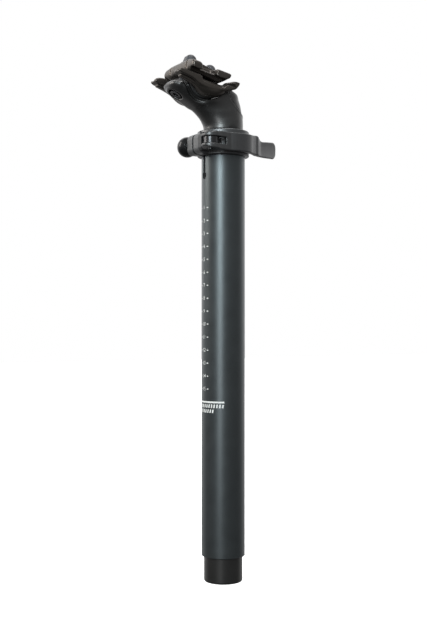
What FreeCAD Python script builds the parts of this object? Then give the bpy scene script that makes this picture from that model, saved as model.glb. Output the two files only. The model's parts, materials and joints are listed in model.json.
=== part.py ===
import FreeCAD, Part
import math
import os

import Sketcher

# A two-stage seatpost with a quick-release collar and a sprung, tilting saddle clamp.
# Frame: +Z up along the tubes, +X to the front of the bicycle, +Y to its left.
# The origin is the centre of the inner tube's lower end, with the post pushed right down.

DIMENSIONS = [
    # outer post
    ("tube_outer", 33.9), ("tube_wall", 1.3), ("tube_base", 20.0), ("tube_top", 346.0),
    ("slot_width", 3.2), ("keyhole_width", 5.6), ("keyhole_height", 315.2),
    ("bush_length", 40.0), ("bush_bore", 30.3),
    # inner post
    ("inner_outer", 30.2), ("inner_wall", 1.6), ("inner_top", 350.6), ("foot_round", 1.4),
    ("plug_thick", 8.0), ("ring_height", 12.0), ("ring_base", 40.0), ("ring_depth", 0.7),
    # quick-release collar
    ("collar_outer", 40.4), ("collar_base", 330.5), ("collar_top", 350.0), ("mouth_bore", 33.0),
    ("ear_base", 331.0), ("ear_top", 347.0), ("ear_reach", 27.0), ("ear_face", 9.5), ("slit", 2.0),
    ("collar_seat", 33.4),
    ("skewer_x", -22.8), ("skewer_z", 339.0), ("skewer_rod", 4.8), ("skewer_hole", 5.5),
    ("pivot_y", -21.0), ("boss_radius", 6.8), ("cam_offset", 0.8), ("eye_radius", 5.4),
    ("eye_height", 4.6), ("pin_width", 4.0), ("washer_round", 8.2), ("washer_centre", -21.25),
    ("lever_height", 14.0), ("lever_thick", 3.6), ("lever_bend", 23.3), ("window_height", 5.2),
    ("window_end", -11.4), ("tip_x", 49.5), ("tip_y", 2.2), ("tab_height", 12.7),
    ("nut_base", 10.5), ("nut_radius", 8.0), ("nut_centre", 16.8),
    ("insert_outer", 7.2), ("insert_height", 2.4),
    # neck and hollow seat
    ("spigot_depth", 42.0), ("spigot_outer", 27.0),
    ("seat_x", -21.5), ("seat_z", 388.0), ("seat_radius", 16.5), ("seat_lean", 25.5),
    ("bolt_rear", 13.0), ("bolt_front", 4.7), ("bolt_width", 5.0),
    # sprung saddle clamp
    ("pad_outer", 16.2), ("pad_inner", 12.0), ("cup_outer", 11.9), ("cup_inner", 10.4),
    ("rocker_radius", 10.3), ("rocker_half", 13.2), ("rail_lean", 12.0), ("rail_gap", 43.0),
    ("rail_height", -2.3), ("rail_width", 7.0), ("clamp_half_width", 24.8),
    ("bolt_slot", 5.9), ("nut_seat_rear", 4.5), ("nut_seat_front", 6.5),
]


class Size:
    """A length with its value and the spreadsheet expression that gives it."""

    def __init__(self, value, text):
        self.value = value
        self.text = text

    def joined(self, other, sign, value):
        text = other.text if isinstance(other, Size) else repr(float(other))
        return Size(value, "(%s %s %s)" % (self.text, sign, text))

    def __add__(self, other):
        return self.joined(other, "+", self.value + plain(other))

    def __sub__(self, other):
        return self.joined(other, "-", self.value - plain(other))

    def __mul__(self, other):
        return self.joined(other, "*", self.value * plain(other))

    def __truediv__(self, other):
        return self.joined(other, "/", self.value / plain(other))

    def __neg__(self):
        return Size(-self.value, "(-1 * %s)" % self.text)


def plain(size):
    return size.value if isinstance(size, Size) else float(size)


def text_of(size):
    return size.text if isinstance(size, Size) else repr(float(size))


doc = FreeCAD.newDocument("Seatpost")
sheet = doc.addObject("Spreadsheet::Sheet", "Dimensions")
D = {}
for row, (alias, number) in enumerate(DIMENSIONS, start=1):
    cell = "B%d" % row
    sheet.set("A%d" % row, alias)
    sheet.set(cell, str(number))
    sheet.setAlias(cell, alias)
    D[alias] = Size(number, "Dimensions." + alias)
doc.recompute()


def bind(thing, prop, size):
    thing.setExpression(prop, text_of(size))


# ---------------------------------------------------------------- sketches and features

def new_body(name):
    body = doc.addObject("PartDesign::Body", name)
    body.Label = name
    return body


def place(body, x, y, z, lean=0.0):
    """Put a body at a point, leant about the Y axis by an angle in degrees."""
    body.Placement = FreeCAD.Placement(
        FreeCAD.Vector(plain(x), plain(y), plain(z)),
        FreeCAD.Rotation(FreeCAD.Vector(0, 1, 0), plain(lean)))
    for axis, size in (("x", x), ("y", y), ("z", z)):
        if isinstance(size, Size):
            bind(body, "Placement.Base." + axis, size)


def new_sketch(body, plane, offset=0.0):
    count = len(body.Group)
    sketch = body.newObject("Sketcher::SketchObject", "%s_sketch_%d" % (body.Name, count))
    support = [f for f in body.Origin.OriginFeatures if f.Role == plane][0]
    sketch.AttachmentSupport = [(support, "")]
    sketch.MapMode = "FlatFace"
    if isinstance(offset, Size) or offset:
        sketch.AttachmentOffset = FreeCAD.Placement(
            FreeCAD.Vector(0, 0, plain(offset)), FreeCAD.Rotation())
        if isinstance(offset, Size):
            bind(sketch, "AttachmentOffset.Base.z", offset)
    return sketch


def pin(sketch, geometry, vertex, x, y):
    """Hold a vertex of a sketch at a place given by the spreadsheet."""
    for kind, axis, size in (("DistanceX", -2, x), ("DistanceY", -1, y)):
        if abs(plain(size)) < 1e-9:
            sketch.addConstraint(Sketcher.Constraint("PointOnObject", geometry, vertex, axis))
            continue
        index = sketch.addConstraint(
            Sketcher.Constraint(kind, -1, 1, geometry, vertex, plain(size)))
        if isinstance(size, Size):
            sketch.setExpression("Constraints[%d]" % index, size.text)


def draw_circle(sketch, x, y, radius):
    index = sketch.addGeometry(Part.Circle(
        FreeCAD.Vector(plain(x), plain(y), 0), FreeCAD.Vector(0, 0, 1), plain(radius)))
    pin(sketch, index, 3, x, y)
    number = sketch.addConstraint(Sketcher.Constraint("Radius", index, plain(radius)))
    sketch.setExpression("Constraints[%d]" % number, text_of(radius))


def draw_outline(sketch, points):
    """Close an outline through points.

    Each point is (x, y), reached by a line, or (x, y, radius), reached by an arc of that
    radius: a positive radius turns left on the way, a negative one turns right.
    """
    count = len(points)
    first = None
    previous = None
    for number in range(count):
        start = points[number - 1]
        end = points[number]
        x0, y0 = plain(start[0]), plain(start[1])
        x1, y1 = plain(end[0]), plain(end[1])
        a = FreeCAD.Vector(x0, y0, 0)
        b = FreeCAD.Vector(x1, y1, 0)
        if len(end) == 2:
            index = sketch.addGeometry(Part.LineSegment(a, b))
            tail, head = 1, 2
        else:
            radius = plain(end[2])
            chord = b - a
            left = FreeCAD.Vector(-chord.y, chord.x, 0) / chord.Length
            reach = math.sqrt(max(radius ** 2 - (chord.Length / 2) ** 2, 0.0))
            side = 1.0 if radius > 0 else -1.0
            centre = (a + b) * 0.5 + left * (reach * side)
            from_a = math.atan2(a.y - centre.y, a.x - centre.x)
            from_b = math.atan2(b.y - centre.y, b.x - centre.x)
            circle = Part.Circle(centre, FreeCAD.Vector(0, 0, 1), abs(radius))
            if radius > 0:
                index = sketch.addGeometry(Part.ArcOfCircle(circle, from_a, from_b))
                tail, head = 1, 2
            else:
                index = sketch.addGeometry(Part.ArcOfCircle(circle, from_b, from_a))
                tail, head = 2, 1
            number_of = sketch.addConstraint(
                Sketcher.Constraint("Radius", index, abs(radius)))
            if isinstance(end[2], Size):
                size = end[2] if radius > 0 else -end[2]
                sketch.setExpression("Constraints[%d]" % number_of, size.text)
        pin(sketch, index, head, end[0], end[1])
        if previous is not None:
            sketch.addConstraint(
                Sketcher.Constraint("Coincident", previous[0], previous[1], index, tail))
        if first is None:
            first = (index, tail)
        previous = (index, head)
    sketch.addConstraint(
        Sketcher.Constraint("Coincident", previous[0], previous[1], first[0], first[1]))


def add_feature(body, kind, sketch, **settings):
    feature = body.newObject("PartDesign::" + kind, "%s_%s_%d" % (body.Name, kind, len(body.Group)))
    feature.Profile = sketch
    sketch.Visibility = False
    for name, value in settings.items():
        if isinstance(value, Size):
            setattr(feature, name, value.value)
            bind(feature, name, value)
        else:
            setattr(feature, name, value)
    return feature


def remove(body, sketch, **settings):
    """Cut a pocket and make sure that it took material away."""
    doc.recompute()
    before = body.Shape.Volume
    add_feature(body, "Pocket", sketch, **settings)
    doc.recompute()
    if body.Shape.Volume > before - 1e-3:
        raise RuntimeError("a pocket of %s cuts nothing" % body.Label)


def spin(body, sketch):
    """A full turn of a sketch about its own vertical axis."""
    turn = add_feature(body, "Revolution", sketch)
    turn.ReferenceAxis = (sketch, ["V_Axis"])
    turn.Angle = 360.0


def revolved(name, outline):
    """A ring or plug turned about the tubes' axis from an outline of (radius, height)."""
    body = new_body(name)
    sketch = new_sketch(body, "XZ_Plane")
    draw_outline(sketch, outline)
    spin(body, sketch)
    return body


def ring_outline(inner, outer, base, top):
    return [(inner, base), (outer, base), (outer, top), (inner, top)]


def slit_rear(body, half_width, base, top):
    """Cut a slit through the rear wall of a ring."""
    sketch = new_sketch(body, "YZ_Plane")
    draw_outline(sketch, [(-half_width, base), (half_width, base), (half_width, top), (-half_width, top)])
    remove(body, sketch, Length=60.0, Reversed=False)


def edges_where(body, test):
    """Names of the edges of a body's newest feature that pass a test."""
    doc.recompute()
    names = []
    for number, edge in enumerate(body.Tip.Shape.Edges, start=1):
        if test(edge):
            names.append("Edge%d" % number)
    return names


def soften(body, kind, size, test):
    names = edges_where(body, test)
    if not names:
        raise RuntimeError("no edge of %s to soften" % body.Label)
    base = body.Tip
    feature = body.newObject("PartDesign::" + kind, "%s_%s_%d" % (body.Name, kind, len(body.Group)))
    feature.Base = (base, names)
    if kind == "Fillet":
        feature.Radius = size
    else:
        feature.Size = size
    doc.recompute()
    if "Invalid" in feature.State or feature.Shape.isNull():
        raise RuntimeError("%s of %s failed" % (kind, body.Label))


def along(edge, direction):
    """True where an edge is straight and runs along a direction."""
    if len(edge.Vertexes) != 2 or edge.Curve.TypeId != "Part::GeomLine":
        return False
    return abs(abs(edge.Curve.Direction.dot(direction)) - 1) < 1e-6


X_WAY = FreeCAD.Vector(1, 0, 0)
Y_WAY = FreeCAD.Vector(0, 1, 0)
Z_WAY = FreeCAD.Vector(0, 0, 1)


# ---------------------------------------------------------------- outer post

def make_outer_tube():
    outer = D["tube_outer"] / 2
    inner = outer - D["tube_wall"]
    seat = D["collar_seat"] / 2
    step = D["collar_base"] - 0.1
    body = revolved("outer_tube", [(inner, D["tube_base"]), (outer, D["tube_base"]), (outer, step),
                                   (seat, step), (seat, D["tube_top"]), (inner, D["tube_top"])])
    soften(body, "Chamfer", 0.35, lambda edge: edge.CenterOfMass.z < D["tube_base"].value + 1
           and edge.Curve.TypeId == "Part::GeomCircle")
    half = D["slot_width"] / 2
    round_half = D["keyhole_width"] / 2
    sketch = new_sketch(body, "YZ_Plane")
    draw_circle(sketch, 0.0, D["keyhole_height"], round_half)
    remove(body, sketch, Length=60.0, Reversed=False)
    slit_rear(body, half, D["keyhole_height"], D["tube_top"] + 1)


def make_top_bush():
    outer = D["tube_outer"] / 2 - D["tube_wall"]
    base = D["tube_top"] - D["bush_length"]
    body = revolved("top_bush", ring_outline(D["bush_bore"] / 2, outer, base, D["tube_top"]))
    slit_rear(body, D["slot_width"] / 2, base - 1, D["tube_top"] + 1)


def make_wiper_ring():
    base = D["tube_top"] + 0.1
    revolved("wiper_ring", ring_outline(D["bush_bore"] / 2, D["mouth_bore"] / 2, base,
                                         D["collar_top"] - 0.4))


def make_collar():
    body = new_body("qr_collar")
    height = D["collar_top"] - D["collar_base"]
    sketch = new_sketch(body, "XY_Plane", D["collar_base"])
    draw_circle(sketch, 0.0, 0.0, D["collar_outer"] / 2)
    add_feature(body, "Pad", sketch, Length=height)
    doc.recompute()
    soften(body, "Fillet", 0.9, lambda edge: edge.Curve.TypeId == "Part::GeomCircle")
    sketch = new_sketch(body, "XZ_Plane")
    reach = -D["ear_reach"]
    nose = D["ear_top"] - 4.6
    heel = D["ear_base"] + 4.6
    draw_outline(sketch, [(-12.0, D["ear_base"]), (-12.0, D["ear_top"]), (reach + 4.6, D["ear_top"]),
                          (reach, nose, 4.6), (reach, heel), (reach + 4.6, D["ear_base"], 4.6)])
    add_feature(body, "Pad", sketch, SideType="Symmetric", Length=D["ear_face"] * 2)
    doc.recompute()
    soften(body, "Fillet", 0.6, lambda edge: abs(abs(edge.CenterOfMass.y) - 9.5) < 1e-3
           and edge.CenterOfMass.x < -19.0)
    sketch = new_sketch(body, "XY_Plane", D["collar_base"])
    draw_circle(sketch, 0.0, 0.0, D["collar_seat"] / 2 + 0.05)
    remove(body, sketch, Length=D["tube_top"] - D["collar_base"], Reversed=True)
    sketch = new_sketch(body, "XY_Plane", D["collar_base"])
    draw_circle(sketch, 0.0, 0.0, D["mouth_bore"] / 2)
    remove(body, sketch, Length=height + 1, Reversed=True)
    slit_rear(body, D["slit"] / 2, D["collar_base"] - 1, D["collar_top"] + 1)
    sketch = new_sketch(body, "XZ_Plane")
    draw_circle(sketch, D["skewer_x"], D["skewer_z"], D["skewer_hole"] / 2)
    remove(body, sketch, SideType="Symmetric", Length=60.0)


def make_cam_washer():
    """A block on the near ear, hollowed to the cam's radius."""
    body = new_body("cam_washer")
    face = -D["ear_face"]
    half = 4.9
    sketch = new_sketch(body, "XY_Plane", D["skewer_z"])
    draw_outline(sketch, [(D["skewer_x"] - half, face), (D["skewer_x"] - half, face - 5.9),
                          (D["skewer_x"] + half, face - 5.9), (D["skewer_x"] + half, face)])
    add_feature(body, "Pad", sketch, SideType="Symmetric", Length=12.4)
    sketch = new_sketch(body, "XY_Plane", D["skewer_z"])
    draw_circle(sketch, D["skewer_x"], D["washer_centre"], D["washer_round"])
    remove(body, sketch, SideType="Symmetric", Length=40.0)
    soften(body, "Fillet", 2.4, lambda edge: along(edge, Y_WAY))
    sketch = new_sketch(body, "XZ_Plane")
    draw_circle(sketch, D["skewer_x"], D["skewer_z"], D["skewer_hole"] / 2)
    remove(body, sketch, SideType="Symmetric", Length=60.0)


def washer_on_skewer(name, base, thickness, radius, hole):
    body = new_body(name)
    sketch = new_sketch(body, "XZ_Plane", -(base + thickness))
    draw_circle(sketch, D["skewer_x"], D["skewer_z"], radius)
    draw_circle(sketch, D["skewer_x"], D["skewer_z"], hole)
    add_feature(body, "Pad", sketch, Length=thickness)
    return body


# ---------------------------------------------------------------- quick release

def make_skewer():
    body = new_body("skewer")
    sketch = new_sketch(body, "XY_Plane", D["skewer_z"])
    draw_circle(sketch, D["skewer_x"], D["pivot_y"], D["eye_radius"])
    add_feature(body, "Pad", sketch, SideType="Symmetric", Length=D["eye_height"])
    sketch = new_sketch(body, "XZ_Plane", -(D["nut_centre"] + 6.4))
    draw_circle(sketch, D["skewer_x"], D["skewer_z"], D["skewer_rod"] / 2)
    add_feature(body, "Pad", sketch, Length=D["nut_centre"] + 3.4 - D["pivot_y"])
    sketch = new_sketch(body, "XY_Plane", D["skewer_z"])
    draw_circle(sketch, D["skewer_x"], D["pivot_y"], D["pin_width"] / 2 + 0.05)
    remove(body, sketch, SideType="Symmetric", Length=40.0)


def make_pivot_pin():
    body = new_body("pivot_pin")
    sketch = new_sketch(body, "XY_Plane", D["skewer_z"])
    draw_circle(sketch, D["skewer_x"], D["pivot_y"], D["pin_width"] / 2)
    add_feature(body, "Pad", sketch, SideType="Symmetric", Length=D["lever_height"] - 0.6)


def make_lever():
    """A forked lever: a boss round the pin, an arm that follows the collar, and a thumb tab."""
    body = new_body("cam_lever")
    sketch = new_sketch(body, "XY_Plane", D["skewer_z"])
    radius = D["boss_radius"].value
    boss_x = D["skewer_x"].value
    boss_y = (D["pivot_y"] + D["cam_offset"]).value
    bend = D["lever_bend"].value
    half = D["lever_thick"].value / 2
    leave = math.radians(-60.0)
    meet = math.radians(-117.0)

    def on_arm(reach, angle):
        return (reach * math.cos(angle), reach * math.sin(angle))

    tip = (D["tip_x"].value, D["tip_y"].value)
    way = (math.sin(math.radians(60.0)), math.cos(math.radians(60.0)))
    across = (way[1], -way[0])
    outer = bend + half
    inner = bend - half
    outer_start = (boss_x + radius * math.cos(math.radians(-97.0)),
                   boss_y + radius * math.sin(math.radians(-97.0)))
    inner_start = (boss_x + radius * math.cos(math.radians(-12.0)),
                   boss_y + radius * math.sin(math.radians(-12.0)))
    outer_leave = on_arm(outer, leave)
    inner_leave = on_arm(inner, leave)
    inner_meet = on_arm(inner, meet)
    outer_meet = on_arm(outer + 0.4, math.radians(-103.0))
    outer_tip = (tip[0] + across[0] * 1.2, tip[1] + across[1] * 1.2)
    inner_tip = (tip[0] - across[0] * 1.2, tip[1] - across[1] * 1.2)
    draw_outline(sketch, [outer_start + (radius,), outer_meet, outer_leave + (outer,), outer_tip,
                          inner_tip + (1.25,), inner_leave, inner_meet + (-inner,), inner_start,
                          (boss_x, boss_y + radius, radius), (boss_x - radius, boss_y, radius)])
    add_feature(body, "Pad", sketch, SideType="Symmetric", Length=D["lever_height"])
    # the window that the skewer's eye sits in, open towards the boss
    sketch = new_sketch(body, "XZ_Plane")
    half_window = D["window_height"] / 2
    low = D["skewer_z"] - half_window
    high = D["skewer_z"] + half_window
    draw_outline(sketch, [(-40.0, low), (D["window_end"] - 0.8, low),
                          (D["window_end"], low + 0.8, 0.8),
                          (D["window_end"], high - 0.8),
                          (D["window_end"] - 0.8, high, 0.8), (-40.0, high)])
    remove(body, sketch, SideType="Symmetric", Length=90.0)
    # the thumb tab is lower than the arm and has round corners
    corner = 2.6
    for side in (-1.0, 1.0):
        edge = D["skewer_z"] + D["lever_height"] * (side / 2)
        lip = D["skewer_z"] + D["tab_height"] * (side / 2)
        sketch = new_sketch(body, "XZ_Plane")
        far = D["tip_x"] + 3.0
        end = D["tip_x"] + 0.6
        draw_outline(sketch, [(24.0, edge + side), (24.0, edge), (29.0, lip), (end - corner, lip),
                              (end, lip - side * corner, -side * corner), (far, lip - side * corner),
                              (far, edge + side)])
        remove(body, sketch, SideType="Symmetric", Length=90.0)
    soften(body, "Fillet", 0.45, lambda edge: abs(abs(edge.CenterOfMass.z - 339.0) - 7.0) < 1e-3)
    sketch = new_sketch(body, "XY_Plane", D["skewer_z"])
    draw_circle(sketch, D["skewer_x"], D["pivot_y"], D["pin_width"] / 2)
    remove(body, sketch, SideType="Symmetric", Length=40.0)


def make_adjusting_nut():
    """A round nut whose axis is the skewer's."""
    body = new_body("adjusting_nut")
    place(body, D["skewer_x"], 0.0, D["skewer_z"])
    sketch = new_sketch(body, "XY_Plane")
    base = D["nut_base"] + 0.1
    neck = 5.6
    bore = D["skewer_rod"] / 2 + 0.05
    seat = D["nut_centre"] - 4.6
    shoulder = math.sqrt(D["nut_radius"].value ** 2 - 4.6 ** 2)
    depth = D["nut_centre"] + 6.5
    pocket = D["insert_outer"] / 2
    floor = base + D["insert_height"]
    draw_outline(sketch, [(pocket, base), (neck, base), (shoulder, seat),
                          (D["nut_radius"], D["nut_centre"], D["nut_radius"]),
                          (0.0, D["nut_centre"] + D["nut_radius"], D["nut_radius"]),
                          (0.0, depth), (bore, depth), (bore, floor), (pocket, floor)])
    spin(body, sketch)


def make_nut_lock_insert():
    """A nylon ring in the adjusting nut's pocket, which keeps the nut from working loose."""
    body = new_body("nut_lock_insert")
    place(body, D["skewer_x"], 0.0, D["skewer_z"])
    sketch = new_sketch(body, "XY_Plane")
    base = D["nut_base"] + 0.1
    draw_outline(sketch, ring_outline(D["skewer_rod"] / 2 + 0.05, D["insert_outer"] / 2, base,
                                      base + D["insert_height"]))
    spin(body, sketch)


# ---------------------------------------------------------------- inner post

def make_inner_tube():
    outer = D["inner_outer"] / 2
    inner = outer - D["inner_wall"]
    groove = outer - D["ring_depth"]
    low = D["ring_base"]
    high = low + D["ring_height"]
    edge = D["foot_round"]
    revolved("inner_tube", [(inner, 0.0), (outer - edge, 0.0), (outer, edge, edge), (outer, low),
                            (groove, low), (groove, high), (outer, high), (outer, D["inner_top"]),
                            (inner, D["inner_top"])])


def make_glide_ring():
    inner = D["inner_outer"] / 2 - D["ring_depth"] + 0.05
    outer = D["tube_outer"] / 2 - D["tube_wall"] - 0.05
    low = D["ring_base"] + 0.15
    body = revolved("glide_ring", ring_outline(inner, outer, low, low + D["ring_height"] - 0.3))
    slit_rear(body, 0.6, low - 1, low + D["ring_height"] + 1)


def make_foot_plug():
    outer = D["inner_outer"] / 2 - D["inner_wall"]
    top = D["plug_thick"]
    hollow = outer - 2.4
    revolved("foot_plug", [(0.0, 0.0), (outer, 0.0), (outer, top), (hollow, top), (hollow, 2.6),
                           (0.0, 2.6)])


# A neck section is (underside point, topside point, half width, squareness) in the plane y = 0.
# Squareness 2 is an ellipse, and more makes the section boxier.
NECK_SECTIONS = [
    ((-15.4, 350.6), (15.4, 350.6), 15.4, 2.0),
    ((-15.6, 354.0), (15.6, 356.2), 15.4, 2.0),
    ((-18.4, 359.0), (14.9, 364.6), 15.3, 2.1),
    ((-24.2, 364.4), (12.9, 373.4), 15.0, 2.3),
    ((-30.6, 368.0), (8.4, 381.4), 14.8, 2.6),
    ((-36.4, 371.1), (-2.0, 389.0), 14.5, 2.9),
    ((-41.8, 374.3), (-29.0, 390.4), 14.0, 2.6),
    ((-46.2, 377.6), (-40.0, 386.4), 12.6, 2.4),
    ((-48.8, 381.0), (-46.0, 385.4), 9.8, 2.3),
]


def neck_section(under, top, half_width, squareness):
    """A closed, rounded curve from the underside to the topside of the neck."""
    centre = FreeCAD.Vector((under[0] + top[0]) / 2, 0, (under[1] + top[1]) / 2)
    half = FreeCAD.Vector((top[0] - under[0]) / 2, 0, (top[1] - under[1]) / 2)
    power = 2.0 / squareness
    points = []
    count = 24
    for step in range(count):
        angle = 2 * math.pi * step / count
        across = math.copysign(abs(math.cos(angle)) ** power, math.cos(angle))
        aside = math.copysign(abs(math.sin(angle)) ** power, math.sin(angle))
        points.append(centre + half * across + Y_WAY * (half_width * aside))
    curve = Part.BSplineCurve()
    curve.interpolate(points, PeriodicFlag=True)
    return Part.Wire([curve.toShape()])


def side_prism(outline):
    """A straight-sided block right across the neck, with an outline of (x, z)."""
    points = [FreeCAD.Vector(x, -20.0, z) for x, z in outline]
    face = Part.Face(Part.makePolygon(points + points[:1]))
    return face.extrude(Y_WAY * 40.0)


def neck_outside():
    """The neck's outer form, cut low at its front horn and rear rim so that the clamp can tilt."""
    wires = [neck_section(*section) for section in NECK_SECTIONS]
    above_horn = side_prism([(-9.0, 389.4), (-3.0, 385.4), (3.0, 382.2), (8.4, 379.8), (11.0, 378.0),
                             (24.0, 374.0), (24.0, 396.0), (-9.0, 396.0)])
    above_rim = side_prism([(-44.0, 386.3), (-37.0, 386.3), (-36.0, 392.0), (-44.0, 392.0)])
    return Part.makeLoft(wires, True, False).cut([above_horn, above_rim])


def seat_cylinder(radius, half_width):
    """A cylinder about the seat's axis, from side to side."""
    base = FreeCAD.Vector(D["seat_x"].value, -half_width, D["seat_z"].value)
    return Part.makeCylinder(radius, 2 * half_width, base, Y_WAY)


def seat_axes():
    """The bolts' upward direction and the forward direction square to it."""
    lean = math.radians(D["seat_lean"].value)
    up = FreeCAD.Vector(math.sin(lean), 0, math.cos(lean))
    front = FreeCAD.Vector(math.cos(lean), 0, -math.sin(lean))
    return up, front


def seat_point(front_way, up_way):
    up, front = seat_axes()
    centre = FreeCAD.Vector(D["seat_x"].value, 0, D["seat_z"].value)
    return centre + front * front_way + up * up_way


def bolt_bar(front_way, low, high, radius):
    """A round bar along a bolt, between two heights above the seat's axis."""
    up, front = seat_axes()
    return Part.makeCylinder(radius, high - low, seat_point(front_way, low), up)


def make_neck():
    depth = D["spigot_depth"].value
    shoulder = D["inner_top"].value
    spigot_base = FreeCAD.Vector(0, 0, shoulder - depth)
    spigot = Part.makeCylinder(D["spigot_outer"].value / 2, depth + 4, spigot_base, Z_WAY)
    neck = neck_outside().fuse(spigot)
    neck = neck.cut(seat_cylinder(D["seat_radius"].value, 30.0))
    # the spigot is a tube, closed under the bend
    bore = Part.makeCylinder(D["spigot_outer"].value / 2 - 3, depth + 12, spigot_base, Z_WAY)
    neck = neck.cut(bore)
    # bolt passages, the rear one with a recess for the washer and the bolt's head
    bolt = D["bolt_width"].value / 2
    rear = -D["bolt_rear"].value
    neck = neck.cut(bolt_bar(rear, -30.0, 0.0, bolt + 0.25))
    neck = neck.cut(bolt_bar(rear, -30.0, REAR_SEAT, WASHER_RADIUS + 0.1))
    neck = neck.cut(bolt_bar(D["bolt_front"].value, STUD_BASE, 0.0, bolt))
    shape_feature("neck_forging", neck.cut(insert_slab()))


REAR_SEAT = -16.5
STUD_BASE = -21.0
WASHER_RADIUS = 5.6


def insert_slab():
    """The space of the front cover, right across the neck's front."""
    return side_prism([(2.2, 376.6), (7.0, 369.4), (24.0, 366.0), (24.0, 390.0), (9.0, 390.0)])


def make_neck_insert():
    shape = neck_outside().common(insert_slab())
    shape_feature("neck_insert", shape.cut(seat_cylinder(D["seat_radius"].value, 30.0)))


def shape_feature(name, shape):
    part = doc.addObject("Part::Feature", name)
    part.Label = name
    part.Shape = shape
    return part


def half_shell(outer, inner, half_width, spread):
    """A shell about the seat's axis, from minus to plus an angle off the bolts' downward way."""
    up, front = seat_axes()
    centre = seat_point(0.0, 0.0)
    reach = 60.0
    turn = math.radians(spread)
    aside = front * (reach * math.sin(turn))
    down = up * (-reach * math.cos(turn))
    corners = [centre, centre + aside + down, centre - up * reach * 2, centre - aside + down]
    corners = [corner - Y_WAY * half_width for corner in corners]
    wedge = Part.Face(Part.makePolygon(corners + corners[:1])).extrude(Y_WAY * (2 * half_width))
    ring = seat_cylinder(outer, half_width).cut(seat_cylinder(inner, half_width + 1.0))
    return ring.common(wedge)


def make_elastomer_pad():
    shell = half_shell(D["pad_outer"].value, D["pad_inner"].value, 12.5, 58.0)
    bolt = D["bolt_width"].value / 2 + 0.5
    holes = [bolt_bar(-D["bolt_rear"].value, -30, 0, bolt), bolt_bar(D["bolt_front"].value, -30, 0, bolt)]
    shape_feature("elastomer_pad", shell.cut(holes))


def make_rocker_cup():
    shell = half_shell(D["cup_outer"].value, D["cup_inner"].value, 12.4, 62.0)
    bolt = D["bolt_width"].value / 2 + 0.4
    holes = [bolt_bar(-D["bolt_rear"].value, -30, 0, bolt), bolt_bar(D["bolt_front"].value, -30, 0, bolt)]
    shape_feature("rocker_cup", shell.cut(holes))


def make_bolts():
    bolt = D["bolt_width"].value / 2
    rear = -D["bolt_rear"].value
    front = D["bolt_front"].value
    head = bolt_bar(rear, REAR_SEAT - 3.9, REAR_SEAT - 1.3, 4.2)
    socket = bolt_bar(rear, REAR_SEAT - 5.0, REAR_SEAT - 2.1, 2.3)
    shank = bolt_bar(rear, REAR_SEAT - 2.0, D["nut_seat_rear"].value + 6.2, bolt)
    shape_feature("rear_bolt", head.fuse(shank).cut(socket))
    ring = bolt_bar(rear, REAR_SEAT - 1.3, REAR_SEAT, WASHER_RADIUS)
    shape_feature("rear_bolt_washer", ring.cut(bolt_bar(rear, -30, 0, bolt + 0.1)))
    shape_feature("front_stud", bolt_bar(front, STUD_BASE, D["nut_seat_front"].value + 6.2, bolt))


# ---------------------------------------------------------------- sprung saddle clamp

def pad_between(body, outline, near, far):
    """Pad an outline in the plane of X and Z on both sides, between two distances from it."""
    for side in (-1.0, 1.0):
        sketch = new_sketch(body, "XZ_Plane", plain(far) if side < 0 else -plain(near))
        draw_outline(sketch, outline)
        add_feature(body, "Pad", sketch, Length=plain(far) - plain(near), Reversed=True)
    doc.recompute()


def cut_between(body, outline, near, far):
    """Cut an outline on both sides, between two distances from the plane of X and Z."""
    for side in (-1.0, 1.0):
        sketch = new_sketch(body, "XZ_Plane", side * plain(far))
        draw_outline(sketch, outline)
        remove(body, sketch, Length=plain(far) - plain(near), Reversed=side < 0)


def rail_grooves(body):
    for side in (-1.0, 1.0):
        sketch = new_sketch(body, "YZ_Plane")
        draw_circle(sketch, D["rail_gap"] * (side / 2), D["rail_height"], D["rail_width"] / 2)
        remove(body, sketch, SideType="Symmetric", Length=120.0)


def bolt_slot(body, centre, length):
    """An upright slot for a bolt, long enough for its lean and for the tilt."""
    sketch = new_sketch(body, "XY_Plane")
    half = D["bolt_slot"].value / 2
    reach = length / 2 - half
    low = plain(centre) - reach
    high = plain(centre) + reach
    draw_outline(sketch, [(high, -half), (high + half, 0.0, half), (high, half, half), (low, half),
                          (low - half, 0.0, half), (low, -half, half)])
    remove(body, sketch, SideType="Symmetric", Length=60.0)


def half_disc(radius, top):
    """The part of a disc about the seat's axis that lies below a height."""
    edge = math.sqrt(radius ** 2 - top ** 2)
    return [(-edge, top), (0.0, -radius, radius), (edge, top, radius)]


def make_lower_cradle():
    body = new_body("lower_cradle")
    place(body, D["seat_x"], 0.0, D["seat_z"], D["rail_lean"])
    top = D["rail_height"].value - 0.5
    rocker = D["rocker_half"].value
    wing = 15.2
    sketch = new_sketch(body, "XZ_Plane")
    draw_outline(sketch, half_disc(D["rocker_radius"].value, top))
    add_feature(body, "Pad", sketch, SideType="Symmetric", Length=D["rocker_half"] * 2)
    doc.recompute()
    pad_between(body, half_disc(13.2, top), rocker - 0.2, wing + 0.5)
    cheek = 15.2
    rear = (-11.5, -math.sqrt(cheek ** 2 - 11.5 ** 2))
    front = (10.5, -math.sqrt(cheek ** 2 - 10.5 ** 2))
    outline = [(-28.0, -6.9), (-17.0, -8.4), rear, front + (cheek,), (13.0, -6.8), (22.5, -5.6),
               (24.5, -3.6, 2.0), (24.5, top), (-28.0, top)]
    pad_between(body, outline, wing, D["clamp_half_width"])
    tab = [(11.0, -6.0), (22.5, -5.0), (27.4, 0.6, 5.6), (27.0, 3.4), (21.6, 3.8, 30.0), (13.0, top)]
    pad_between(body, tab, wing, D["rail_gap"] / 2 - D["rail_width"] / 2)
    rail_grooves(body)
    scallop = [(-12.6, top + 2.0), (-8.3, -7.2), (9.3, -7.4), (12.6, top + 2.0)]
    cut_between(body, scallop, D["rail_gap"] / 2 + 0.6, D["clamp_half_width"] + 1.0)
    bolt_slot(body, 3.2, 10.2)


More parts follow.
